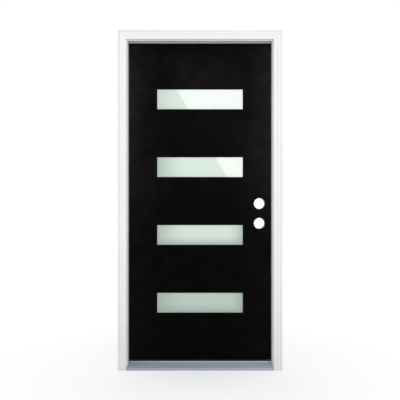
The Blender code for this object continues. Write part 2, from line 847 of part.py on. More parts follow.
def add_screw_holes(bm, height, face, inward):
    """Countersunk holes in a leaf: two staggered rows, wide at the face that shows."""
    middle = PIN_Y - (LEAF_REACH + BARREL_DIAMETER / 2) / 2 - SCREW_SHIFT
    spacing = (HINGE_HEIGHT - 2 * SCREW_END_MARGIN) / (HINGE_SCREWS - 1)
    head = SCREW_HEAD_DIAMETER / 2
    hole = SCREW_HOLE_DIAMETER / 2
    profile = [
        (head, -OVERCUT / 2),
        (head, 0),
        (hole, head - hole),
        (hole, LEAF_THICKNESS + OVERCUT / 2),
    ]
    for i in range(HINGE_SCREWS):
        y = middle + (SCREW_STAGGER if i % 2 else -SCREW_STAGGER)
        z = height - HINGE_HEIGHT / 2 + SCREW_END_MARGIN + i * spacing
        add_turned(bm, profile,
                   lambda a, b, along: (face + inward * along, y + a, z + b), SCREW_STEPS)


def make_leaf(name, height, jamb_side, metal):
    """One leaf of a butt hinge: plate, knuckles, pin hole and countersunk screw holes."""
    face = -RABBET_FACE if jamb_side else SLAB_LEFT
    inward = -1 if jamb_side else 1
    low, high = sorted((face, face + inward * LEAF_THICKNESS))
    leaf = run(name, leaf_outline(height, jamb_side), lengthwise, low, high, metal)

    def add_barrels(bm):
        for bottom, top in knuckles(height, jamb_side):
            middle = (PIN_X, PIN_Y, (bottom + top) / 2)
            add_cylinder(bm, middle, "Z", BARREL_DIAMETER / 2, top - bottom)

    def add_pin_hole(bm):
        add_cylinder(bm, (PIN_X, PIN_Y, height), "Z", PIN_DIAMETER / 2 + PIN_PLAY,
                     HINGE_HEIGHT + 2 * OVERCUT)

    shape([leaf], f"{name}_barrels", add_barrels, "UNION")
    shape([leaf], f"{name}_pin_hole", add_pin_hole)
    shape([leaf], f"{name}_screw_holes", lambda bm: add_screw_holes(bm, height, face, inward))
    smooth(leaf)
    return leaf


def make_pin(name, height, metal):
    """Loose pin: a shank with a button head above the barrel and a tip below it."""
    head_low = height + HINGE_HEIGHT / 2 + FIT
    tip = height - HINGE_HEIGHT / 2 - PIN_TIP_DROP
    shank = PIN_DIAMETER / 2
    head = PIN_HEAD_DIAMETER / 2
    ease = PIN_HEAD_HEIGHT / 3
    profile = [
        (shank - ease, tip),
        (shank, tip + ease),
        (shank, head_low),
        (head, head_low),
        (head, head_low + PIN_HEAD_HEIGHT - ease),
        (head - ease, head_low + PIN_HEAD_HEIGHT),
    ]

    def place(a, b, along):
        return PIN_X + a, PIN_Y + b, along

    pin = make(name, lambda bm: add_turned(bm, profile, place, ROUND_STEPS), metal)
    smooth(pin)
    return pin


def build_door():
    for old in list(bpy.data.objects):
        bpy.data.objects.remove(old, do_unlink=True)

    primed_pine = finish("primed_pine", (0.76, 0.75, 0.72), 0.55)
    moulding_white = finish("moulding_white", (0.80, 0.82, 0.84), 0.50)
    seal_white = finish("seal_white", (0.83, 0.83, 0.84), 0.60)
    black_fibreglass = finish("black_fibreglass", (0.008, 0.008, 0.009), 0.45)
    bare_pine = finish("bare_pine", (0.62, 0.43, 0.22), 0.70)
    core_foam = finish("core_foam", (0.78, 0.72, 0.50), 0.90)
    satin_glass = finish("satin_glass", (0.62, 0.74, 0.66), 0.30)
    spacer_metal = finish("spacer_metal", (0.55, 0.57, 0.56), 0.40, 1.0)
    hinge_steel = finish("hinge_steel", (0.50, 0.50, 0.49), 0.38, 1.0)
    mill_aluminium = finish("mill_aluminium", (0.28, 0.33, 0.37), 0.42, 1.0)
    dark_composite = finish("dark_composite", (0.045, 0.040, 0.038), 0.60)
    sill_substrate = finish("sill_substrate", (0.30, 0.26, 0.20), 0.80)
    sweep_rubber = finish("sweep_rubber", (0.02, 0.02, 0.02), 0.65)

    make_jambs(primed_pine)
    make_brickmould(moulding_white)
    make_weatherstrip(seal_white)
    make_sill(mill_aluminium, sill_substrate, dark_composite)

    skins = make_skins(black_fibreglass)
    stiles = make_stiles(bare_pine)
    top_rail, bottom_rail = make_rails(bare_pine)
    moving = skins + [*stiles, top_rail, bottom_rail]
    moving += [make_core(core_foam), make_lock_block(bare_pine)]
    moving += make_lites(satin_glass, spacer_metal)
    moving.append(make_sweep(sweep_rubber, bottom_rail))
    shape([skins[1], stiles[0]], "slab_hinge_mortises",
          lambda bm: add_leaf_mortises(bm, SLAB_LEFT, LEAF_THICKNESS + FIT))

    for place, height in HINGES:
        make_leaf(f"hinge_{place}_jamb_leaf", height, True, hinge_steel)
        make_pin(f"hinge_{place}_pin", height, hinge_steel)
        moving.append(make_leaf(f"hinge_{place}_door_leaf", height, False, hinge_steel))

    axis = bpy.data.objects.new("door_swing_axis", None)
    axis.location = (PIN_X, PIN_Y, 0)
    bpy.context.collection.objects.link(axis)
    bpy.context.view_layer.update()
    for piece in moving:
        piece.parent = axis
        piece.matrix_parent_inverse = axis.matrix_world.inverted()


build_door()
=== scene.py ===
"""Looks of the prehung entrance door: finishes, small fastenings, gaskets and the studio.

Metres, in the part's own frame: +X right and +Y indoors as seen from outside, +Z up.
"""

from math import cos, pi, radians, sin

import bmesh
import bpy
from mathutils import Matrix, Vector


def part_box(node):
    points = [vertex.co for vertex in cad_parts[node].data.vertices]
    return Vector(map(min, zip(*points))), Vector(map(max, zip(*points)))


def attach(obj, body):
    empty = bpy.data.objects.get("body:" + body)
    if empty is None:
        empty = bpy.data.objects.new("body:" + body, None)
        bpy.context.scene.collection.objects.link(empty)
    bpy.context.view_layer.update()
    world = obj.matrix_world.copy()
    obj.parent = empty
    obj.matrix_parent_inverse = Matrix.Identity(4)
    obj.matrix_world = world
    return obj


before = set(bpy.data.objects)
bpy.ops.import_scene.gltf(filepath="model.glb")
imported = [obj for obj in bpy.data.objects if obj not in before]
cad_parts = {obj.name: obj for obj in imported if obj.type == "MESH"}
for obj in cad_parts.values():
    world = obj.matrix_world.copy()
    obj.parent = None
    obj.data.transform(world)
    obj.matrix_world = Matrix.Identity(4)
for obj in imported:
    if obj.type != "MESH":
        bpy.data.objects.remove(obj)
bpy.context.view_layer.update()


# Jambs: two legs and a head of finger-jointed pine, rabbeted for the slab, kerfed for the
# seal and dipped in warm white primer. The hinge mortises, pockets and ends are cut after
# the dip, so they show bare wood.

class NodeWork:
    """A tree of shader nodes, all of them made by one method."""

    def __init__(self, tree):
        self.tree = tree

    def feed(self, socket, value):
        """Links a reading to a socket, or sets the socket's own value."""
        if isinstance(value, Reading):
            self.tree.links.new(value.socket, socket)
        elif socket.type == "RGBA":
            socket.default_value = (*value, 1.0)
        else:
            socket.default_value = value

    def node(self, kind, settings=None, sockets=None, output=0):
        """Adds a node, sets its settings and then its sockets, and reads one output."""
        node = self.tree.nodes.new(kind)
        for name, value in (settings or {}).items():
            setattr(node, name, value)
        for name, value in (sockets or {}).items():
            self.feed(node.inputs[name], value)
        return Reading(self, node.outputs[output])


class Reading:
    """One output of a node. Sums with it add Math nodes beside that node."""

    def __init__(self, work, socket):
        self.work = work
        self.socket = socket

    def worked(self, operation, *numbers):
        """A Math node on readings and numbers."""
        return self.work.node("ShaderNodeMath", {"operation": operation}, dict(enumerate(numbers)))

    def beside(self, output):
        """Another output of the same node."""
        return Reading(self.work, self.socket.node.outputs[output])

    def limited(self):
        """The reading held between 0 and 1."""
        return self.worked("MINIMUM", self.worked("MAXIMUM", self, 0.0), 1.0)

    def ramp(self, none, full):
        """0 where the reading is at none or short of it, and 1 from full on."""
        return ((self - none) / (full - none)).limited()

    def within(self, low, high):
        """1 between two readings and 0 outside them."""
        return (self > low) * (self < high)

    def __add__(self, other):
        return self.worked("ADD", self, other)

    def __radd__(self, other):
        return self.worked("ADD", other, self)

    def __sub__(self, other):
        return self.worked("SUBTRACT", self, other)

    def __rsub__(self, other):
        return self.worked("SUBTRACT", other, self)

    def __mul__(self, other):
        return self.worked("MULTIPLY", self, other)

    def __rmul__(self, other):
        return self.worked("MULTIPLY", other, self)

    def __truediv__(self, other):
        return self.worked("DIVIDE", self, other)

    def __pow__(self, other):
        return self.worked("POWER", self, other)

    def __gt__(self, other):
        return self.worked("GREATER_THAN", self, other)

    def __lt__(self, other):
        return self.worked("LESS_THAN", self, other)

    def __abs__(self):
        return self.worked("ABSOLUTE", self)


CLOUD_CONTRAST = 2.2


class Finish(NodeWork):
    """A surface finish: a Principled shader and the nodes that vary it."""

    def __init__(self, name, settings):
        self.material = bpy.data.materials.new(name)
        self.material.use_nodes = True
        super().__init__(self.material.node_tree)
        self.shader = self.tree.nodes["Principled BSDF"]
        self.set(settings)

    def set(self, settings):
        """Feeds sockets of the shader by their names."""
        for name, value in settings.items():
            self.feed(self.shader.inputs[name], value)

    def place(self, stretch=(1.0, 1.0, 1.0)):
        """Where a point of the piece is, in metres, with each axis scaled."""
        spot = self.node("ShaderNodeTexCoord", output="Object")
        return self.node("ShaderNodeMapping", None, {"Vector": spot, "Scale": stretch})

    def axes(self, kind="Object"):
        """The three axes of a point's place, or of its normal."""
        spot = self.node("ShaderNodeTexCoord", output=kind)
        x = self.node("ShaderNodeSeparateXYZ", None, {0: spot})
        return x, x.beside("Y"), x.beside("Z")

    def facing(self, axis, least=0.6):
        """1 on faces square to an axis, such as a sawn end."""
        return abs(self.axes("Normal")[axis]) > least

    def cloud(self, scale, stretch=(1.0, 1.0, 1.0), detail=2.0, distortion=0.0):
        """Soft noise from 0 to 1 with about scale lumps a metre."""
        noise = self.node("ShaderNodeTexNoise", None, {
            "Vector": self.place(stretch), "Scale": scale,
            "Detail": detail, "Distortion": distortion,
        })
        return ((noise - 0.5) * CLOUD_CONTRAST + 0.5).limited()

    def blend(self, share, first, second):
        """A colour between two, by a share from 0 to 1."""
        return self.node("ShaderNodeMix", {"data_type": "RGBA"},
                         {0: share, 6: first, 7: second}, output=2)

    def emboss(self, height, distance):
        """Relief: a height from 0 to 1 times a distance in metres."""
        bump = self.node("ShaderNodeBump", None, {"Distance": distance, "Height": height})
        self.set({"Normal": bump})


def shade(red, green, blue):
    """A colour as a screen shows it, 0 to 255, made linear for the shader."""
    return [c / 12.92 if c <= 0.04045 else ((c + 0.055) / 1.055) ** 2.4
            for c in (red / 255, green / 255, blue / 255)]


def drawn_out(along, share):
    """Scales for a pattern drawn out along one axis, 0 for X and 2 for Z."""
    stretch = [1.0, 1.0, 1.0]
    stretch[along] = share
    return stretch


def coat(finish, *nodes):
    """Puts a finish on nodes of the frame."""
    for name in nodes:
        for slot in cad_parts[name].material_slots:
            slot.material = finish.material


def bare_pine(finish, along):
    """Colour and relief of planed pine, darker on its sawn ends."""
    bands = {"wave_type": "BANDS", "bands_direction": "DIAGONAL"}
    rings = finish.node("ShaderNodeTexWave", bands, {
        "Vector": finish.place(drawn_out(along, 0.045)),
        "Scale": 88.0, "Distortion": 5.0, "Detail": 2.0, "Detail Scale": 0.5,
    }, output=1)
    fibres = finish.cloud(900.0, drawn_out(along, 0.02))
    sawn = finish.facing(along, 0.7)
    colour = finish.blend(rings * 0.65 + fibres * 0.3, shade(216, 182, 134), shade(180, 134, 84))
    colour = finish.blend(sawn * (0.35 + rings * 0.3), colour, shade(150, 108, 66))
    return colour, rings * 0.6 + fibres * 0.4


BLOCK_LENGTH = 0.43
FINGER_PITCH = 0.0042
FINGER_LENGTH = 0.010
GLUE_SHARE = 0.0022
PAINTED_SHADE_TOP = 0.9


def primed_pine(name, along, cuts):
    """Primer over finger-jointed pine, with bare wood where cuts(finish) reads 1."""
    primer = Finish(name, {"Specular IOR Level": 0.4})
    x, y, z = primer.axes()
    length, width = (z, x + y) if along == 2 else (x, z + y)
    zigzag = width.worked("PINGPONG", width, FINGER_PITCH / 2) / (FINGER_PITCH / 2)
    blocks = (length + zigzag * FINGER_LENGTH) / BLOCK_LENGTH
    block = primer.node("ShaderNodeTexWhiteNoise", {"noise_dimensions": "1D"},
                        {"W": blocks.worked("FLOOR", blocks)})
    joint = blocks.worked("FRACT", blocks) < GLUE_SHARE
    grain = primer.cloud(210.0, drawn_out(along, 0.035), detail=3.0)
    spray = primer.cloud(1400.0)
    # Painted shade: the primer is painted darker towards the floor.
    foot_shade = z.ramp(PAINTED_SHADE_TOP, 0.0)
    colour = primer.blend(block * 0.45 + grain * 0.55, shade(226, 224, 218), shade(237, 236, 231))
    colour = primer.blend(joint * 0.4, colour, shade(206, 202, 194))
    colour = primer.blend(foot_shade * 0.3, colour, shade(206, 205, 202))
    wood, relief = bare_pine(primer, along)
    cut = cuts(primer)
    primer.set({
        "Base Color": primer.blend(cut, colour, wood),
        "Roughness": 0.46 + grain * 0.1 + cut * 0.25,
    })
    primer.emboss(grain * 0.55 + spray * 0.2 + block * 0.25 + cut * relief, distance=0.00012)
    return primer


# Bare cuts in a leg lie behind the rabbet's face and between two depths in from outdoors.
# The head's stop is cut back at both ends to sit on the legs.
RABBET_FACE = 0.462
CUT_REACH = (RABBET_FACE + 0.0020, RABBET_FACE + 0.0188)
CUT_DEPTHS = (0.0624, 0.1157)
HEAD_STOP_END = RABBET_FACE - 0.0135


def leg_cuts(finish):
    """1 in a leg's pockets and hinge mortises and on its sawn ends."""
    x, y, z = finish.axes()
    recess = abs(x).within(*CUT_REACH) * y.within(*CUT_DEPTHS)
    return (recess + finish.facing(2)).limited()


def head_cuts(finish):
    """1 on the head's sawn ends and where its stop is cut back over the legs."""
    return finish.facing(0) * (abs(finish.axes()[0]) > HEAD_STOP_END)


coat(primed_pine("primed_leg", 2, leg_cuts), "hinge_jamb", "strike_jamb")
coat(primed_pine("primed_head", 0, head_cuts), "head_jamb")


# Head screws: three zinc-plated pan heads at each end of the head jamb, driven down into
# the end grain of the legs. They are what holds the three jambs together.

SCREW_SIDES = 12
CROSS_WAIST = 0.45
CROSS_TAPER = 0.6


def add_screw(bm, place, profile, rim, depth):
    """Turns a screw from its (radius, height) profile and sinks a cross recess in its head."""
    before = set(bm.verts)
    half_side = pi / SCREW_SIDES
    points = [bm.verts.new((radius * cos(half_side), radius * sin(half_side), height))
              for radius, height in profile]
    edges = [bm.edges.new(pair) for pair in zip(points, points[1:])]
    bmesh.ops.spin(bm, geom=points + edges, cent=(0, 0, 0), axis=(0, 0, 1), angle=2 * pi,
                   steps=SCREW_SIDES, use_merge=True)
    made = [corner for corner in bm.verts if corner not in before]
    bmesh.ops.remove_doubles(bm, verts=made, dist=1e-6)
    rim_edges = [edge for edge in bm.edges if edge.is_boundary]
    top = bmesh.ops.edgeloop_fill(bm, edges=rim_edges)["faces"]
    bmesh.ops.inset_region(bm, faces=top, thickness=rim)
    # Pulling in the corners on the diagonals turns the face into a cross.
    for corner in top[0].verts:
        if abs(abs(corner.co.x) - abs(corner.co.y)) < 1e-5:
            corner.co.x *= CROSS_WAIST
            corner.co.y *= CROSS_WAIST
    bottom = bmesh.ops.extrude_discrete_faces(bm, faces=top)["faces"][0]
    for corner in bottom.verts:
        corner.co = (corner.co.x * CROSS_TAPER, corner.co.y * CROSS_TAPER, corner.co.z - depth)
    made = [corner for corner in bm.verts if corner not in before]
    bmesh.ops.transform(bm, matrix=place, verts=made)


def fit(name, bm, finish, body):
    """Makes a piece of what was modelled, its faces outward, riding on a body of the frame."""
    bmesh.ops.recalc_face_normals(bm, faces=bm.faces)
    mesh = bpy.data.meshes.new(name)
    bm.to_mesh(mesh)
    bm.free()
    mesh.shade_smooth()
    mesh.set_sharp_from_angle(angle=radians(40))
    mesh.materials.append(finish.material)
    piece = bpy.data.objects.new(name, mesh)
    bpy.context.scene.collection.objects.link(piece)
    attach(piece, body)


def plated_steel(name, dark, light, roughness, brushed=None):
    """Plated steel: fine cloudy plating, drawn out along an axis if it is brushed."""
    steel = Finish(name, {"Metallic": 1.0})
    fine = steel.cloud(1500.0, (1.0, 1.0, 1.0) if brushed is None else drawn_out(brushed, 0.02))
    broad = steel.cloud(45.0, detail=3.0)
    steel.set({
        "Base Color": steel.blend(fine * 0.5 + broad * 0.5, dark, light),
        "Roughness": roughness + (fine - 0.5) * 0.12 + (broad - 0.5) * 0.1,
    })
    steel.emboss(fine, distance=0.00002)
    return steel


PAN_HEAD = [(0.0031, 0.0026), (0.0040, 0.0020), (0.0044, 0.0010), (0.0043, 0.0),
            (0.0021, 0.0), (0.0021, -0.046), (0.0, -0.053)]
HEAD_SCREW_DEPTHS = (0.009, 0.026, 0.098)

zinc = plated_steel("zinc_plate", shade(176, 177, 174), shade(206, 206, 200), roughness=0.34)
head_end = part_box("head_jamb")[1]
for side, end in ((-1, "hinge_end"), (1, "strike_end")):
    bm = bmesh.new()
    for depth in HEAD_SCREW_DEPTHS:
        spot = Matrix.Translation((side * (RABBET_FACE + head_end.x) / 2, depth, head_end.z))
        add_screw(bm, spot, PAN_HEAD, rim=0.0009, depth=0.0016)
    fit(f"head_screws_{end}", bm, zinc, "frame")


# Brickmould: two legs and a head of extruded cellular PVC, white, mitred at the top corners
# and nailed to the outdoor edges of the jambs. Die lines run along each piece. The raised outer
# band is painted greyer and each piece is painted darker towards the floor, both painted shade.

BAND_WIDTH = 0.0155
BAND_FADE = 0.005
mould_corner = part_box("brickmould_head")[1]


def cellular_pvc(name, along):
    """White extruded PVC, its cells open on the sawn ends."""
    pvc = Finish(name, {"Specular IOR Level": 0.45})
    x, y, z = pvc.axes()
    from_edge = mould_corner.x - abs(x) if along == 2 else mould_corner.z - z
    # Painted shade: a strip along the outer edge and the lowest part are painted greyer.
    band_shade = from_edge.ramp(BAND_WIDTH, BAND_WIDTH - BAND_FADE)
    foot_shade = z.ramp(PAINTED_SHADE_TOP, 0.0) ** 1.5
    sawn = pvc.facing(along)
    lines = pvc.cloud(520.0, drawn_out(along, 0.01))
    swell = pvc.cloud(3.5, drawn_out(along, 0.5), detail=3.0)
    cells = pvc.cloud(1900.0)
    colour = pvc.blend(swell * 0.6 + lines * 0.4, shade(245, 245, 247), shade(252, 252, 253))
    colour = pvc.blend(foot_shade * 0.5, colour, shade(219, 219, 221))
    colour = pvc.blend(band_shade * (0.25 + swell * 0.24), colour, shade(206, 206, 208))
    pvc.set({
        "Base Color": pvc.blend(sawn * (0.3 + cells * 0.5), colour, shade(222, 222, 218)),
        "Roughness": 0.36 + lines * 0.1 + sawn * 0.3,
    })
    pvc.emboss(lines * 0.5 + swell * 0.2 + sawn * cells, distance=0.00008)
    return pvc


coat(cellular_pvc("brickmould_leg_pvc", 2), "brickmould_hinge_side", "brickmould_strike_side")
coat(cellular_pvc("brickmould_head_pvc", 0), "brickmould_head")


# Weatherstrip: urethane foam in a thin white polyethylene skin, with a barbed fin pushed
# into the kerf of the rabbet. The skin has fine creases across its length.

def wrapped_foam(name, along):
    """White film over soft foam, for a seal that runs along an axis."""
    wrap = Finish(name, {"Specular IOR Level": 0.5})
    creases = wrap.cloud(420.0, drawn_out(2 - along, 0.2), detail=3.0)
    puffs = wrap.cloud(60.0)
    uneven = creases * 0.6 + puffs * 0.4
    wrap.set({
        "Base Color": wrap.blend(uneven, shade(219, 219, 217), shade(236, 236, 234)),
        "Roughness": 0.42 + creases * 0.16,
    })
    wrap.emboss(uneven, distance=0.00025)
    return wrap


coat(wrapped_foam("seal_leg_wrap", 2), "weatherstrip_hinge_side", "weatherstrip_strike_side")
coat(wrapped_foam("seal_head_wrap", 0), "weatherstrip_head")


# Sill: a folded tread of blue-grey mill aluminium over a wood-fibre base, and a dark
# composite cap that is raised on screws until it meets the sweep.

NOSE_BACK = -0.0235

tread = Finish("mill_aluminium", {"Metallic": 0.1, "Specular IOR Level": 0.5})
strokes = tread.cloud(900.0, drawn_out(0, 0.012), detail=3.0)
sheen = tread.cloud(2.2, (1.0, 0.4, 0.4))
x, y, z = tread.axes()
# Painted reflection: the tread is painted brighter towards the right and in broad patches, and the
# nose is painted purplish.
painted_reflection = (0.5 + x * 0.75 + (sheen - 0.5) * 0.3).limited()
metal = tread.blend(painted_reflection, shade(178, 193, 208), shade(214, 226, 238))
metal = tread.blend((y < NOSE_BACK) * 0.6, metal, shade(150, 153, 172))
tread.set({
    "Base Color": tread.blend(strokes * 0.3, metal, shade(150, 160, 170)),
    "Roughness": 0.44 + strokes * 0.16,
})
tread.emboss(strokes, distance=0.00002)
coat(tread, "sill_tread")

board = Finish("moulded_fibre", {"Specular IOR Level": 0.25, "Roughness": 0.82})
fibres = board.cloud(260.0, drawn_out(0, 0.25), detail=4.0)
flecks = board.cloud(900.0)
board.set({"Base Color": board.blend(fibres * 0.7 + flecks * 0.3,
                                     shade(94, 88, 80), shade(142, 134, 122))})
board.emboss(fibres * 0.6 + flecks * 0.4, distance=0.0002)
coat(board, "sill_base")

cap = Finish("dark_composite", {"Specular IOR Level": 0.35})
grain = cap.cloud(260.0, drawn_out(0, 0.03), detail=4.0, distortion=0.6)
smudge = cap.cloud(9.0, drawn_out(0, 0.6), detail=3.0)
cap.set({
    "Base Color": cap.blend(grain * 0.6 + smudge * 0.4, shade(44, 40, 41), shade(70, 65, 66)),
    "Roughness": 0.5 + grain * 0.2,
})
cap.emboss(grain, distance=0.00025)
coat(cap, "sill_cap")


# Slab frame: pine stiles and rails glued round a foam core, with a solid lock block. Only
# the long edges that show are painted black, so mortises, bores and ends are bare pine.

EDGE_BEVEL = 0.0025
HINGE_PAINT_REACH = 0.0002
LOCK_PAINT_REACH = 0.0003
slab_low, slab_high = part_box("door_skin_interior")
slab_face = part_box("door_skin_exterior")[0].y


def painted_pine(name, painted):
    """Upright pine, black where painted(finish) reads 1."""
    wood = Finish(name, {"Specular IOR Level": 0.2})
    bare, relief = bare_pine(wood, 2)
    mask = painted(wood)
    brushed = wood.cloud(300.0, drawn_out(2, 0.04), detail=3.0)
    paint = wood.blend(brushed, shade(17, 17, 18), shade(27, 27, 28))
    wood.set({
        "Base Color": wood.blend(mask, bare, paint),
        "Roughness": 0.74 - mask * (0.34 - brushed * 0.1),
    })
    wood.emboss(relief * (1 - mask * 0.7) + brushed * 0.2, distance=0.00012)
    return wood


def hinge_edge(finish):
    """1 on the slab's square hinge edge."""
    return finish.axes()[0] < slab_low.x + HINGE_PAINT_REACH


def lock_edge(finish):
    """1 on the slab's bevelled lock edge."""
    x, y, z = finish.axes()
    slope = EDGE_BEVEL / (slab_high.y - slab_face)
    return x > slab_high.x - LOCK_PAINT_REACH - slope * (slab_high.y - y)


coat(painted_pine("painted_hinge_stile", hinge_edge), "hinge_stile")
coat(painted_pine("painted_lock_stile", lock_edge),
     "lock_stile_lower", "lock_stile_upper", "lock_block")

rail = Finish("planed_pine", {"Specular IOR Level": 0.25, "Roughness": 0.72})
colour, relief = bare_pine(rail, 0)
rail.set({"Base Color": colour})
rail.emboss(relief, distance=0.00012)
coat(rail, "top_rail", "bottom_rail")

core = Finish("urethane_foam", {"Specular IOR Level": 0.2, "Roughness": 0.9})
cells = core.node("ShaderNodeTexVoronoi", {"feature": "F1"},
                  {"Vector": core.place(), "Scale": 900.0})
ageing = core.cloud(14.0, detail=3.0)
aged = (cells * 0.8 + ageing * 0.4).limited()
core.set({"Base Color": core.blend(aged, shade(232, 218, 172), shade(206, 184, 126))})
core.emboss(cells, distance=0.0004)
coat(core, "foam_core")


# Skins: two smooth fibreglass sheets bonded to the stiles and sprayed satin black. The spray
# leaves a fine orange peel and faint strokes. The black is painted brighter high up and at the
# edges, a painted sheen.

SHEEN_FOOT = 0.8
SHEEN_FULL = 1.85
SHEEN_WANES = 1.72
SHEEN_TOP = 2.02

skin = Finish("satin_black", {"Specular IOR Level": 0.022})
x, y, z = skin.axes()
# Painted sheen: the black is painted brighter high up, at the side edges and in broad patches.
high = z.ramp(SHEEN_FOOT, SHEEN_FULL) * (1 - z.ramp(SHEEN_WANES, SHEEN_TOP) * 0.45)
edges = (abs(x) / slab_high.x) ** 5
sheen_patches = skin.cloud(1.9, detail=4.0)
mottle = skin.cloud(13.0, detail=4.0)
strokes_up = skin.cloud(60.0, drawn_out(2, 0.2), detail=3.0)
strokes_across = skin.cloud(60.0, drawn_out(0, 0.2), detail=3.0)
strokes = (strokes_up * 0.5 + strokes_across * 0.5) ** 2
peel = skin.cloud(620.0)
sheen_and_mottle = (sheen_patches - 0.42).limited() * high * 0.55 + edges * (0.12 + high * 0.5)
sheen_and_mottle = (sheen_and_mottle * (0.5 + mottle) + strokes * 0.07 + mottle * 0.05).limited()
skin.set({
    "Base Color": skin.blend(sheen_and_mottle, shade(1, 1, 1), shade(46, 46, 47)),
    "Roughness": 0.34 + mottle * 0.12 + strokes * 0.14,
})
skin.emboss(peel * 0.4 + strokes * 0.6, distance=0.00014)
coat(skin, "door_skin_exterior", "door_skin_interior")


# Lites: each is a sealed unit of two panes on a metal spacer. The panes are etched on their
# inner faces, so the glass is a smooth pale green that shows nothing behind it. The green is
# painted darker in the lower lites and towards the ends and bottom of each, as painted shade,
# and brighter beside the glare in the upper two, as a painted highlight.

LITES = (1, 2, 3, 4)
PANE_LAP = 0.010
DIM_LEFT = 0.19
DIM_RIGHT = 0.10
DIM_BOTTOM = 0.06
GLARE_PAINT_FROM = 0.07
GLARE_PAINT_FULL = 0.25
pane_low, pane_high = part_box("lite_4_outer_pane")
lite_width = pane_high.x - pane_low.x - 2 * PANE_LAP
lite_height = pane_high.z - pane_low.z - 2 * PANE_LAP
lite_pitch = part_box("lite_3_outer_pane")[0].z - pane_low.z
lowest_middle = (pane_low.z + pane_high.z) / 2

glass = Finish("etched_glass", {
    "Roughness": 0.55, "Specular IOR Level": 0.3, "Coat Weight": 1.0, "Coat Roughness": 0.015,
})
x, y, z = glass.axes()
turn = (z - lowest_middle) / lite_pitch + 0.5
number_up = turn.worked("FLOOR", turn)
from_bottom = turn.worked("FRACT", turn) * lite_pitch - (lite_pitch - lite_height) / 2
upper_three = number_up.limited()
upper_two = (number_up - 1).limited()
highest = (number_up - 2).limited()
left = x.ramp(DIM_LEFT - lite_width / 2, -lite_width / 2) ** 1.6
right = x.ramp(lite_width / 2 - DIM_RIGHT, lite_width / 2) ** 1.9
bottom = from_bottom.ramp(DIM_BOTTOM, 0.0) ** 1.4
# Painted shade: the lower lites, and the ends and bottom of each lite, are painted darker.
level = 0.47 + upper_three * 0.40 + upper_two * 0.13
level = level * (1 - left * (0.75 - highest * 0.4))
level = level * (1 - right * (0.95 - upper_three * 0.15 - upper_two * 0.7))
level = level * (1 - bottom * (0.9 - upper_two * 0.8))
etch = glass.cloud(5.0, detail=3.0)
frost = glass.cloud(1800.0)
body = glass.blend(level.limited(), shade(150, 170, 157), shade(223, 241, 229))
# Painted highlight: beside the glare the upper two lites are painted brighter.
painted_glare_share = upper_two * (x + highest * 0.25).ramp(GLARE_PAINT_FROM, GLARE_PAINT_FULL)
body = glass.blend(painted_glare_share * 0.6, body, shade(236, 237, 235))
glass.set({"Base Color": glass.blend(etch * 0.06 + frost * 0.05, body, shade(190, 206, 196))})
coat(glass, *(f"lite_{number}_{side}_pane" for number in LITES for side in ("outer", "inner")))

spacer = plated_steel("spacer_metal", shade(170, 173, 172), shade(196, 199, 198),
                      roughness=0.42, brushed=0)
coat(spacer, *(f"lite_{number}_frame" for number in LITES))


# Glazing gaskets: black rubber frames pressed round each lite on both faces of the slab.
# A lap lies on the skin, and a lip reaches down the skin's cut edge to the glass.

GASKET_LAP = 0.0032
GASKET_LIP = 0.0010
GASKET_STAND = 0.0012
GASKET_ROUND = 0.0007
GASKET_CLEAR = 0.0001
SQUARE_EDGE = radians(60)

rubber = Finish("gasket_rubber", {"Specular IOR Level": 0.12, "Roughness": 0.6})
dust = rubber.cloud(420.0, detail=3.0)
rubber.set({"Base Color": rubber.blend(dust, shade(5, 5, 6), shade(16, 16, 17))})
rubber.emboss(dust, distance=0.00006)


def inset_ring(bm, sheet, width):
    """Shrinks a sheet by a width and returns the ring of faces left round it."""
    return bmesh.ops.inset_region(bm, faces=[sheet], thickness=width,
                                  use_boundary=True, use_even_offset=True)["faces"]


def draw_out(bm, faces, travel):
    """Extrudes faces as one region along Y and keeps the faces that they started as."""
    made = bmesh.ops.extrude_face_region(bm, geom=faces, use_keep_orig=True)["geom"]
    bmesh.ops.translate(bm, vec=(0, travel, 0),
                        verts=[part for part in made if isinstance(part, bmesh.types.BMVert)])


def make_gasket(name, middle, skin_face, glass_face):
    """A ring whose lap stands off the skin's face and whose lip goes down to the glass."""
    outward = 1.0 if skin_face > glass_face else -1.0
    width = lite_width + 2 * GASKET_LAP
    tall = lite_height + 2 * GASKET_LAP
    base = skin_face + outward * GASKET_CLEAR
    bm = bmesh.new()
    place = (Matrix.Translation((middle.x, base, middle.z)) @ Matrix.Rotation(pi / 2, 4, "X")
             @ Matrix.Diagonal((width, tall, 1.0, 1.0)))
    bmesh.ops.create_grid(bm, x_segments=1, y_segments=1, size=0.5, matrix=place)
    [sheet] = bm.faces
    lap = inset_ring(bm, sheet, GASKET_LAP + GASKET_CLEAR)
    lip = inset_ring(bm, sheet, GASKET_LIP)
    bmesh.ops.delete(bm, geom=[sheet], context="FACES_ONLY")
    draw_out(bm, lap + lip, outward * GASKET_STAND)
    draw_out(bm, lip, glass_face + outward * GASKET_CLEAR - base)
    bmesh.ops.delete(bm, geom=lip, context="FACES")
    bmesh.ops.recalc_face_normals(bm, faces=bm.faces)
    top = base + outward * GASKET_STAND
    rims = [edge for edge in bm.edges if edge.calc_face_angle(0) > SQUARE_EDGE
            and all(abs(corner.co.y - top) < 1e-6 for corner in edge.verts)]
    bmesh.ops.bevel(bm, geom=rims, offset=GASKET_ROUND, segments=2, profile=0.5,
                    affect="EDGES", material=-1)
    fit(name, bm, rubber, "leaf")


for number in LITES:
    for side, near, skin_face in (("outer", 0, slab_face), ("inner", 1, slab_high.y)):
        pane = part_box(f"lite_{number}_{side}_pane")
        middle = (pane[0] + pane[1]) / 2
        make_gasket(f"lite_{number}_{side}_gasket", middle, skin_face, pane[near].y)


# Sweep: a black vinyl extrusion pressed into two kerfs under the slab, with three fins
# that brush the sill cap.

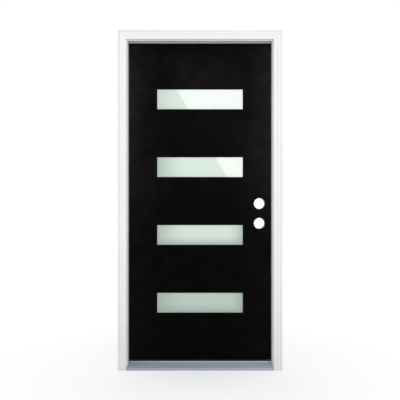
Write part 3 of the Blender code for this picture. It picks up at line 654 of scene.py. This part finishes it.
sweep = Finish("sweep_vinyl", {"Specular IOR Level": 0.35})
drawn = sweep.cloud(700.0, drawn_out(0, 0.015))
sweep.set({
    "Base Color": sweep.blend(drawn, shade(14, 14, 15), shade(30, 30, 31)),
    "Roughness": 0.48 + drawn * 0.14,
})
sweep.emboss(drawn, distance=0.00005)
coat(sweep, "door_sweep")


# Hinges: three pressed steel butts with loose pins, satin zinc plated, let flush into the
# jamb and the slab's edge, with four countersunk cross-recess screws to each leaf.

HINGES = ("top", "middle", "bottom")
leaf_zinc = plated_steel("satin_zinc", shade(168, 169, 167), shade(200, 200, 196),
                         roughness=0.33, brushed=2)
coat(leaf_zinc, *(f"hinge_{place}_{side}_leaf" for place in HINGES for side in ("jamb", "door")))
pin_zinc = plated_steel("pin_zinc", shade(178, 179, 177), shade(208, 208, 204), roughness=0.26)
coat(pin_zinc, *(f"hinge_{place}_pin" for place in HINGES))

FLAT_HEAD = [(0.0034, -0.0001), (0.0040, -0.0002), (0.0042, -0.0004), (0.0022, -0.0023),
             (0.0021, -0.0180), (0.0, -0.0240)]
SCREWS_A_LEAF = 4
SCREW_ROW = 0.0203
SCREW_STAGGER = 0.0075
SCREW_END = 0.0125
CROSS_TURNS = (0.4, 1.5, 2.6, 3.7)

for place in HINGES:
    for side, body, face, facing in (("jamb", "frame", -RABBET_FACE, 1),
                                     ("door", "leaf", slab_low.x, -1)):
        low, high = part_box(f"hinge_{place}_{side}_leaf")
        spacing = (high.z - low.z - 2 * SCREW_END) / (SCREWS_A_LEAF - 1)
        bm = bmesh.new()
        for i in range(SCREWS_A_LEAF):
            across = low.y + SCREW_ROW + (SCREW_STAGGER if i % 2 else -SCREW_STAGGER)
            spot = Matrix.Translation((face, across, low.z + SCREW_END + i * spacing))
            turned = (spot @ Matrix.Rotation(facing * pi / 2, 4, "Y")
                      @ Matrix.Rotation(CROSS_TURNS[i], 4, "Z"))
            add_screw(bm, turned, FLAT_HEAD, rim=0.0011, depth=0.0013)
        fit(f"hinge_{place}_{side}_screws", bm, zinc, body)


# Studio: a white floor that keeps the door's shadow and fades into a white surround, one
# big soft lamp in front, high on the right, that glares in the upper lites, and a fill behind.

FLOOR_RADIUS = 30.0
FLOOR_SINK = 0.0006
SHADOW_REACH = 0.7
SHADOW_FADE = 3.0
FLOOR_GLOW = 0.78


def backdrop_rays(work):
    """1 on rays that show the backdrop: to the camera, mirrored or seen through glass."""
    path = work.node("ShaderNodeLightPath")
    return (path + path.beside("Is Glossy Ray") + path.beside("Is Transmission Ray")).limited()


floor_paint = Finish("studio_floor", {
    "Base Color": shade(244, 244, 245), "Roughness": 0.9, "Specular IOR Level": 0.0,
})
x, y, z = floor_paint.axes()
away = (x * x + y * y) ** 0.5
glow = (FLOOR_GLOW + (away - SHADOW_REACH) / SHADOW_FADE).limited()
white = floor_paint.node("ShaderNodeEmission", None, {"Color": (1.0, 1.0, 1.0), "Strength": 1.0})
mixed = floor_paint.node("ShaderNodeMixShader", None, {
    0: glow * backdrop_rays(floor_paint),
    1: Reading(floor_paint, floor_paint.shader.outputs[0]),
    2: white,
})
floor_paint.feed(floor_paint.tree.nodes["Material Output"].inputs["Surface"], mixed)
bm = bmesh.new()
bmesh.ops.create_circle(bm, cap_ends=True, segments=96, radius=FLOOR_RADIUS,
                        matrix=Matrix.Translation((0, 0, -FLOOR_SINK)))
mesh = bpy.data.meshes.new("studio_floor")
bm.to_mesh(mesh)
bm.free()
mesh.materials.append(floor_paint.material)
floor = bpy.data.objects.new("studio_floor", mesh)
bpy.context.scene.collection.objects.link(floor)

AIR_STRENGTH = 0.80
world = bpy.data.worlds.new("studio_air")
world.use_nodes = True
bpy.context.scene.world = world
air = NodeWork(world.node_tree)
backdrop = air.tree.nodes["Background"]
air.feed(backdrop.inputs["Color"], (1.0, 1.0, 1.0))
air.feed(backdrop.inputs["Strength"], AIR_STRENGTH + backdrop_rays(air) * (1 - AIR_STRENGTH))

CAMERA_BACK = 3.6
VIEW_HEIGHT = 1.0522
PICTURE_SPAN = 2.534
camera_data = bpy.data.cameras.new("camera")
camera_data.lens = camera_data.sensor_width * (CAMERA_BACK + slab_face) / PICTURE_SPAN
camera = bpy.data.objects.new("camera", camera_data)
camera.location = (0.0, -CAMERA_BACK, VIEW_HEIGHT)
camera.rotation_euler = (pi / 2, 0.0, 0.0)
bpy.context.scene.collection.objects.link(camera)
bpy.context.scene.camera = camera


def add_lamp(name, place, width, tall, brightness):
    """A rectangular lamp of one brightness, where 1 is white, that lights along its -Z."""
    lamp_data = bpy.data.lights.new(name, "AREA")
    lamp_data.shape = "RECTANGLE"
    lamp_data.size = width
    lamp_data.size_y = tall
    lamp_data.energy = brightness * pi * width * tall
    lamp = bpy.data.objects.new(name, lamp_data)
    lamp.matrix_world = place
    lamp.visible_camera = False
    bpy.context.scene.collection.objects.link(lamp)


# The glare is placed by its lower left corner, lean and size as mirrored in the glass.
GLARE_CORNER = Vector((0.282, 0.0, 1.0))
GLARE_LEAN = radians(29.7)
GLARE_WIDTH = 0.75
GLARE_HEIGHT = 1.0
LAMP_BACK = 5.5
pane_face = pane_low.y
reach = CAMERA_BACK + pane_face
spread = (reach + LAMP_BACK) / reach
upright = Matrix.Rotation(pi / 2, 4, "X") @ Matrix.Rotation(GLARE_LEAN, 4, "Z")
centre = GLARE_CORNER + upright.to_3x3() @ Vector((GLARE_WIDTH / 2, GLARE_HEIGHT / 2, 0.0))
lamp_height = VIEW_HEIGHT + (centre.z - VIEW_HEIGHT) * spread
in_front = Matrix.Translation((centre.x * spread, pane_face - LAMP_BACK, lamp_height)) @ upright
add_lamp("key", in_front, GLARE_WIDTH * spread, GLARE_HEIGHT * spread, brightness=4.0)

FILL_PLACE = (-1.8, 5.2, 2.6)
FILL_TILT = radians(74)
facing_out = Matrix.Rotation(pi, 4, "Z") @ Matrix.Rotation(FILL_TILT, 4, "X")
behind = Matrix.Translation(FILL_PLACE) @ facing_out
add_lamp("fill_behind", behind, width=2.6, tall=2.2, brightness=3.0)

bpy.context.scene.view_settings.view_transform = "Standard"
